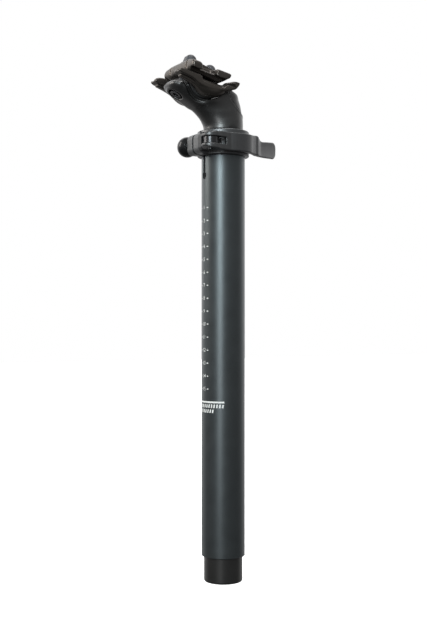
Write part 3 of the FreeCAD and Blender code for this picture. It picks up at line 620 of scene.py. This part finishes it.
def quad_mesh(name, points, faces):
    """A smooth-shaded mesh of four-sided faces, from points in millimetres."""
    mesh = bpy.data.meshes.new(name)
    mesh.vertices.add(len(points))
    mesh.loops.add(4 * len(faces))
    mesh.polygons.add(len(faces))
    mesh.vertices.foreach_set("co", (points * MM).astype(np.float32).ravel())
    mesh.loops.foreach_set("vertex_index", faces.astype(np.int32).ravel())
    mesh.polygons.foreach_set("loop_start", np.arange(0, 4 * len(faces), 4, dtype=np.int32))
    mesh.update(calc_edges=True)
    mesh.validate()
    mesh.shade_smooth()
    return mesh


def surface_mesh(name, field, low, high, cell):
    """A smooth mesh of the surface where a field is zero, in the box from low to high."""
    counts = [int(math.ceil((top - base) / cell)) + 1 for base, top in zip(low, high)]
    axes = [base + cell * np.arange(count) for base, count in zip(low, counts)]
    grid = np.meshgrid(*axes, indexing="ij", sparse=True)
    values = np.broadcast_to(field(*grid), counts)
    cells = [count - 1 for count in counts]
    crossings = [edge_crossings(values, axis) for axis in range(3)]
    order, places = cell_points(crossings, cells)
    faces = cell_faces(crossings, order, cells)
    points = smoothed(np.array(low) + cell * places, faces)
    return quad_mesh(name, points, faces)


def lean_mesh(mesh):
    """Turns a mesh made in the rail clamp's own axes into place."""
    mesh.transform(Matrix.Translation(SEAT * MM) @ Matrix.Rotation(RAIL_LEAN, 4, "Y"))


def along_bolts(x, z):
    """How far a point is up along the bolts from the seat's axis, and how far to the front of it."""
    up = (x - SEAT.x) * math.sin(BOLT_LEAN) + (z - SEAT.z) * math.cos(BOLT_LEAN)
    front = (x - SEAT.x) * math.cos(BOLT_LEAN) - (z - SEAT.z) * math.sin(BOLT_LEAN)
    return up, front


# --------------------------------------------------------------- the saddle clamp

def pad_field(x, y, z):
    """A ribbed rubber part of a ring under the rocker."""
    up, front = along_bolts(x, z)
    ribs = PAD_RIB_HEIGHT * np.cos(y * (2 * math.pi / PAD_RIB_PITCH))
    ring = slab(np.hypot(up, front), PAD_RADIUS, PAD_HALF_THICKNESS) - ribs
    ring = common(ring, np.abs(y) - PAD_HALF_WIDTH, soft=1.2)
    turn = np.abs(np.arctan2(front, -up))
    ring = common(ring, (turn - PAD_HALF_ARC) * PAD_RADIUS, soft=1.2)
    for bolt in (REAR_BOLT, FRONT_BOLT):
        ring = without(ring, rod(front - bolt, y, PAD_HOLE), soft=0.6)
    return ring


def neck_sections(x, z):
    """The half thickness, half width and squareness of the neck near a point."""
    weights = 0
    sums = [0, 0, 0]
    for under, top, half_width, squareness in NECK_SECTIONS:
        thick = math.hypot(top[0] - under[0], top[1] - under[1]) / 2
        apart = np.sqrt(nearest_run([under, top], x, z, False)) + SECTION_BLUR
        weight = apart ** SECTION_FALL
        weights = weights + weight
        for index, value in enumerate((thick, half_width, squareness)):
            sums[index] = sums[index] + weight * value
    return [total / weights for total in sums]


def neck_outline():
    """The neck's outline in side view, carried on below its base."""
    below = 340.0
    half = NECK_SECTIONS[0][2]
    underside = [section[0] for section in NECK_SECTIONS]
    topside = [section[1] for section in reversed(NECK_SECTIONS)]
    return [(-half, below)] + underside + [NECK_REAR_END] + topside + [(half, below)]


def neck_form(x, y, z):
    """The neck's outer form with its hollow seat, before the bolts and the cover."""
    depth = -smooth_outline_field(neck_outline(), x, z)
    thick, wide, square = neck_sections(x, z)
    reach = np.hypot(x - SEAT.x, z - SEAT.z)
    turn = np.degrees(np.arctan2(SEAT.z - z, SEAT.x - x))
    fade = ease(turn, *VALLEY_REAR_FADE) * (1 - ease(turn, *VALLEY_FRONT_FADE))
    wide = wide - VALLEY[0] * fade * swell(reach, VALLEY[1], VALLEY[2])
    wide = wide + RIDGE[0] * fade * swell(reach, RIDGE[1], RIDGE[2])
    middle = np.abs(1 - np.minimum(depth / thick, 1))
    form = ((middle ** square + (np.abs(y) / wide) ** square) ** (1 / square) - 1) * np.minimum(thick, wide)
    form = without(form, outline_field(HORN_TRIM, x, z), soft=0.6)
    form = without(form, outline_field(RIM_TRIM, x, z), soft=0.8)
    form = common(form, NECK_BASE - z, soft=0.3)
    up, front = along_bolts(x, z)
    boss = common(rod(front - REAR_BOLT, y, BOSS_RADIUS), slab(up, BOSS_MIDDLE, BOSS_HALF), soft=0.6)
    form = union(form, boss, soft=2.2)
    return without(form, reach - SEAT_RADIUS, soft=0.7)


def neck_field(x, y, z):
    """The neck with its bolt holes, the bolt head's recess, the cover's place and the hollow spigot."""
    form = neck_form(x, y, z)
    up, front = along_bolts(x, z)
    for bolt, radius in ((REAR_BOLT, REAR_HOLE), (FRONT_BOLT, FRONT_HOLE)):
        hole = common(rod(front - bolt, y, radius), HOLE_FOOT - up, soft=0.2)
        form = without(form, hole, soft=0.5)
    through = common(rod(front - REAR_BOLT, y, REAR_HOLE), up, soft=0.2)
    form = without(form, through, soft=0.3)
    recess = common(rod(front - REAR_BOLT, y, RECESS_RADIUS), up - RECESS_TOP, soft=0.3)
    form = without(form, recess, soft=0.9)
    cover = outline_field(COVER, x, z)
    form = form - COVER_LIP[0] * swell(cover, COVER_LIP[1], COVER_LIP[2])
    form = without(form, cover, soft=0.7)
    spigot = common(rod(x, y, SPIGOT_RADIUS), slab(z, SPIGOT_MIDDLE, SPIGOT_HALF), soft=0.6)
    bore = common(rod(x, y, BORE_RADIUS), z - BORE_TOP, soft=2.0)
    return without(union(form, spigot, soft=0.5), bore, soft=0.5)


def cover_field(x, y, z):
    """The cover let into the neck, a little under the neck's surface."""
    cover = outline_field(COVER, x, z) + COVER_GAP
    return common(neck_form(x, y, z) + COVER_SUNK, cover, soft=0.5)


def lever_path():
    """The middle line of the lever's arm and tab, as (x, y)."""
    bend = []
    for step in range(LEVER_BEND_STEPS):
        turn = math.radians(LEVER_BEND_START + LEVER_BEND_STEP * step)
        bend.append((LEVER_BEND * math.cos(turn), LEVER_BEND * math.sin(turn)))
    return LEVER_ROOT + bend + LEVER_TAB


def lever_field(x, y, z):
    """The forked lever: a boss, an arm round the collar, a fold, and a hollow thumb tab."""
    tab = ease(x, *TAB_START)
    hollow = TAB_HOLLOW * tab * np.maximum(1 - ((z - TAB_MIDDLE) / TAB_HALF_HEIGHT) ** 2, 0)
    off_path = np.sqrt(nearest_run(lever_path(), x, y - hollow, False))
    arm = off_path - ARM_HALF_THICKNESS + TAB_THINNING * tab
    arm = union(arm, rod(x - FOLD[0], y - FOLD[1], FOLD_RADIUS), soft=2.0)
    boss = rod(x - PIVOT[0], y - PIVOT[1] - LEVER_BOSS_SHIFT, LEVER_BOSS_RADIUS)
    form = union(arm, boss, soft=3.0)
    form = common(form, smooth_outline_field(LEVER_SIDE, x, z), soft=0.9)
    window = common(slab(z, WINDOW_MIDDLE, WINDOW_HALF), x - WINDOW_END, soft=0.6)
    form = without(form, window, soft=0.5)
    return without(form, rod(x - PIVOT[0], y - PIVOT[1], PIN_HOLE), soft=0.3)


def rail_rod(side, z):
    """The space of a saddle rail, in the clamp's own axes."""
    return rod(side - RAIL_SIDE, z - RAIL_HEIGHT, RAIL_GROOVE)


def bolt_slot(x, y, middle, reach):
    """The space that a bolt passes as the clamp tilts."""
    return rod(np.maximum(slab(x, middle, reach), 0), y, SLOT_RADIUS)


def cradle_field(x, y, z):
    """The lower half of the rail clamp, in the clamp's own axes."""
    reach = np.hypot(x, z)
    side = np.abs(y)
    drum = common(common(reach - DRUM_RADIUS, z - DRUM_TOP, soft=0.6), side - DRUM_HALF, soft=0.4)
    disc = common(reach - DISC_RADIUS, z - DRUM_TOP, soft=0.6)
    disc = common(disc, slab(side, DISC_SIDE, DISC_HALF), soft=0.5)
    wing = common(smooth_outline_field(CRADLE_WING, x, z), slab(side, WING_SIDE, WING_HALF), soft=1.2)
    bowl = common(reach - BOWL_RADIUS, z - BOWL_TOP, soft=1.5)
    bowl = common(bowl, side - CLAMP_HALF, soft=6.0)
    bowl = common(bowl, BOWL_INNER_SIDE - side, soft=0.6)
    rib = np.sqrt(nearest_run(CRADLE_RIB, x, z, False)) - RIB_RADIUS
    rib = common(rib, slab(side, RIB_SIDE, RIB_HALF), soft=0.8)
    tab = slab(side, CRADLE_TAB_SIDE, CRADLE_TAB_HALF)
    tab = common(smooth_outline_field(CRADLE_TAB, x, z), tab, soft=1.4)
    form = union(drum, disc, soft=0.6)
    form = union(form, union(wing, bowl, soft=1.0), soft=0.8)
    form = union(form, union(rib, tab, soft=0.5), soft=0.7)
    scoop = common(outline_field(CRADLE_SCOOP, x, z), SCOOP_SIDE - side, soft=0.8)
    form = without(form, scoop, soft=0.8)
    form = without(form, rail_rod(side, z), soft=0.5)
    return without(form, bolt_slot(x, y, *CRADLE_SLOT), soft=0.4)


def clamp_shape(x, side, z):
    """The upper half's block, raised back and shoulder, before anything is cut out."""
    block = smooth_outline_field(CLAMP_BLOCK, x, z)
    drop, *ends = BLOCK_FALL
    block = common(block, z - BLOCK_TOP + drop * ease(side, *ends), soft=1.2)
    block = common(block, side - CLAMP_HALF, soft=2.0)
    raised = common(smooth_outline_field(CLAMP_BACK, x, z, 1), side - BACK_HALF, soft=0.9)
    crown = SHOULDER_TOP
    for drop, *ends in SHOULDER_FALLS:
        crown = crown - drop * ease(side, *ends)
    shoulder = common(smooth_outline_field(CLAMP_SHOULDER, x, z), z - crown, soft=0.8)
    shoulder = common(shoulder, side - CLAMP_HALF, soft=3.2)
    return union(union(block, raised, soft=0.8), shoulder, soft=0.8)


def clamp_field(x, y, z):
    """The upper half of the rail clamp, in the clamp's own axes."""
    side = np.abs(y)
    form = clamp_shape(x, side, z)
    form = without(form, rod(x - CREASE[0], side - CREASE[1], CREASE_RADIUS), soft=0.7)
    slope = NOTCH_FOOT + (CLAMP_HALF - side) * NOTCH_SLOPE
    notch = common(slab(x, NOTCH_MIDDLE, NOTCH_HALF), slope - z, soft=1.6)
    notch = common(notch, NOTCH_INNER_SIDE - side, soft=1.6)
    form = without(form, notch, soft=1.1)
    lean = BOLT_LEAN - RAIL_LEAN
    front = x * math.cos(lean) - z * math.sin(lean)
    up = x * math.sin(lean) + z * math.cos(lean)
    for bolt, shift, half, floor in POCKETS:
        pocket = common(slab(front - bolt, shift, half), floor - up, soft=0.4)
        form = without(form, common(pocket, side - POCKET_HALF, soft=0.6), soft=0.4)
    form = without(form, rail_rod(side, z), soft=0.5)
    for middle, reach in CLAMP_SLOTS:
        form = without(form, bolt_slot(x, y, middle, reach), soft=0.4)
    return form


def make_head():
    """The neck with its cover, both halves of the rail clamp, the lever, and the rubber pad."""
    mesh = surface_mesh("neck", neck_field, (-50.4, -16.6, 307.4), (16.9, 16.6, 391.6), CELL)
    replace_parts(make_piece("neck", mesh, "head_black", "inner_post"), "neck_forging")
    mesh = surface_mesh("neck_cover", cover_field, (-6.0, -16.6, 360.0), (17.2, 16.6, 388.0), CELL)
    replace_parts(make_piece("neck_cover", mesh, "head_black", "inner_post"), "neck_insert")
    mesh = surface_mesh("cradle", cradle_field, (-31.0, -26.2, -17.0), (29.0, 26.2, 6.0), FINE_CELL)
    lean_mesh(mesh)
    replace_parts(make_piece("cradle", mesh, "clamp_black", "rail_clamp"), "lower_cradle")
    mesh = surface_mesh("clamp", clamp_field, (-21.0, -26.2, -4.0), (16.9, 26.2, 11.0), FINE_CELL)
    lean_mesh(mesh)
    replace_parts(make_piece("clamp", mesh, "clamp_black", "rail_clamp"), "upper_clamp")
    mesh = surface_mesh("qr_lever", lever_field, (-31.0, -29.0, 330.4), (52.0, 5.5, 348.6), FINE_CELL)
    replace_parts(make_piece("qr_lever", mesh, "lever_black", "lever"), "cam_lever")
    mesh = surface_mesh("bumper", pad_field, (-40.0, -13.6, 368.0), (0.0, 13.6, 396.0), CELL)
    bumper = make_piece("bumper", mesh, "black_rubber", None)
    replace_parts(bumper, "elastomer_pad")
    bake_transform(bumper)


# -------------------------------------------------------- stage and lighting

def make_floor():
    """A plain pale floor under the post's foot."""
    half = 4.0
    mesh = bpy.data.meshes.new("floor")
    mesh.from_pydata(
        [(-half, -half, 0), (half, -half, 0), (half, half, 0), (-half, half, 0)], [], [(0, 1, 2, 3)])
    floor = bpy.data.objects.new("floor", mesh)
    floor.location.z = -0.2 * MM
    bpy.context.scene.collection.objects.link(floor)
    material = bpy.data.materials.new("floor_white")
    material.use_nodes = True
    tree = material.node_tree
    shader = tree.nodes["Principled BSDF"]
    place = add_node(tree, "ShaderNodeTexCoord").outputs["Object"]
    mottle = remap(tree, noise(tree, place, 0.02), 0.3, 0.7, 0.75, 0.85)
    tree.links.new(mottle, shader.inputs["Roughness"])
    shader.inputs["Base Color"].default_value = (0.86, 0.86, 0.86, 1)
    shader.inputs["Emission Color"].default_value = (1, 1, 1, 1)
    shader.inputs["Emission Strength"].default_value = 1.1
    set_material(floor, material)
    floor.visible_glossy = False
    floor.visible_diffuse = False


def add_light(name, way, distance, height, width, tall, power, colour, aim=0.3):
    """A soft panel that stands off the post in a level direction and faces it at the height aim."""
    data = bpy.data.lights.new(name, "AREA")
    data.shape = "RECTANGLE"
    data.size = width
    data.size_y = tall
    data.energy = power
    data.color = colour
    light = bpy.data.objects.new(name, data)
    light.location = way.normalized() * distance + UP * height
    light.rotation_mode = "QUATERNION"
    light.rotation_quaternion = (UP * aim - light.location).to_track_quat("-Z", "Y")
    light.visible_camera = False
    bpy.context.scene.collection.objects.link(light)


def add_lights():
    """A cool panel left of the camera, a small low one under it, a warm one at the left, one above."""
    white = (1.0, 1.0, 1.0)
    add_light("key", LOOK * -0.956 + RIGHT * -0.292, distance=1.25, height=0.75,
              width=0.34, tall=0.8, power=12.5, colour=(0.86, 0.97, 1.0))
    add_light("side", RIGHT * -1.0 + LOOK * 0.1, distance=1.3, height=0.9,
              width=0.5, tall=0.8, power=9, colour=(1.0, 0.96, 0.9))
    add_light("low", LOOK * -0.956 + RIGHT * -0.30, distance=1.1, height=0.12,
              width=0.26, tall=0.24, power=0.95, colour=white, aim=0.35)
    add_light("above", LOOK * -0.3 + RIGHT * 0.2, distance=0.3, height=1.5,
              width=0.7, tall=0.7, power=8, colour=white)


def make_world():
    """Bright behind the post, dimmer at the sides, below and behind the camera, and white to look at."""
    world = bpy.data.worlds.new("studio")
    bpy.context.scene.world = world
    world.use_nodes = True
    tree = world.node_tree
    background = tree.nodes["Background"]
    way = add_node(tree, "ShaderNodeTexCoord").outputs["Generated"]
    along = add_node(tree, "ShaderNodeVectorMath", {"operation": "DOT_PRODUCT"})
    tree.links.new(way, along.inputs[0])
    along.inputs[1].default_value = LOOK
    dim = remap(tree, along.outputs["Value"], 0.16, 0.75, 0.25, 1.25)
    upright = add_node(tree, "ShaderNodeSeparateXYZ", None, {"Vector": way}).outputs["Z"]
    dim = times(tree, dim, remap(tree, upright, -0.35, 0.1, 0.25, 1.15))
    seen = add_node(tree, "ShaderNodeLightPath").outputs["Is Camera Ray"]
    strength = add_node(tree, "ShaderNodeMix", {"data_type": "FLOAT"})
    tree.links.new(seen, strength.inputs[0])
    tree.links.new(dim, strength.inputs[2])
    strength.inputs[3].default_value = 1.0
    tree.links.new(strength.outputs[0], background.inputs["Strength"])
    background.inputs["Color"].default_value = (1, 1, 1, 1)


def make_camera():
    """The camera at the viewing angle of the picture to match."""
    data = bpy.data.cameras.new("camera")
    data.lens = CAMERA_LENS
    data.sensor_width = 36
    data.clip_start = 0.05
    camera = bpy.data.objects.new("camera", data)
    camera.location = LOOK * -CAMERA_DISTANCE + UP * CAMERA_HEIGHT
    way = LOOK * math.cos(CAMERA_PAN) - RIGHT * math.sin(CAMERA_PAN)
    camera.rotation_mode = "QUATERNION"
    camera.rotation_quaternion = way.to_track_quat("-Z", "Y")
    bpy.context.scene.collection.objects.link(camera)
    bpy.context.scene.camera = camera
    bpy.context.scene.view_settings.view_transform = "Standard"


make_camera()
make_world()
add_lights()
make_floor()
finish_cad_nodes()
make_printed_scale()
make_head()
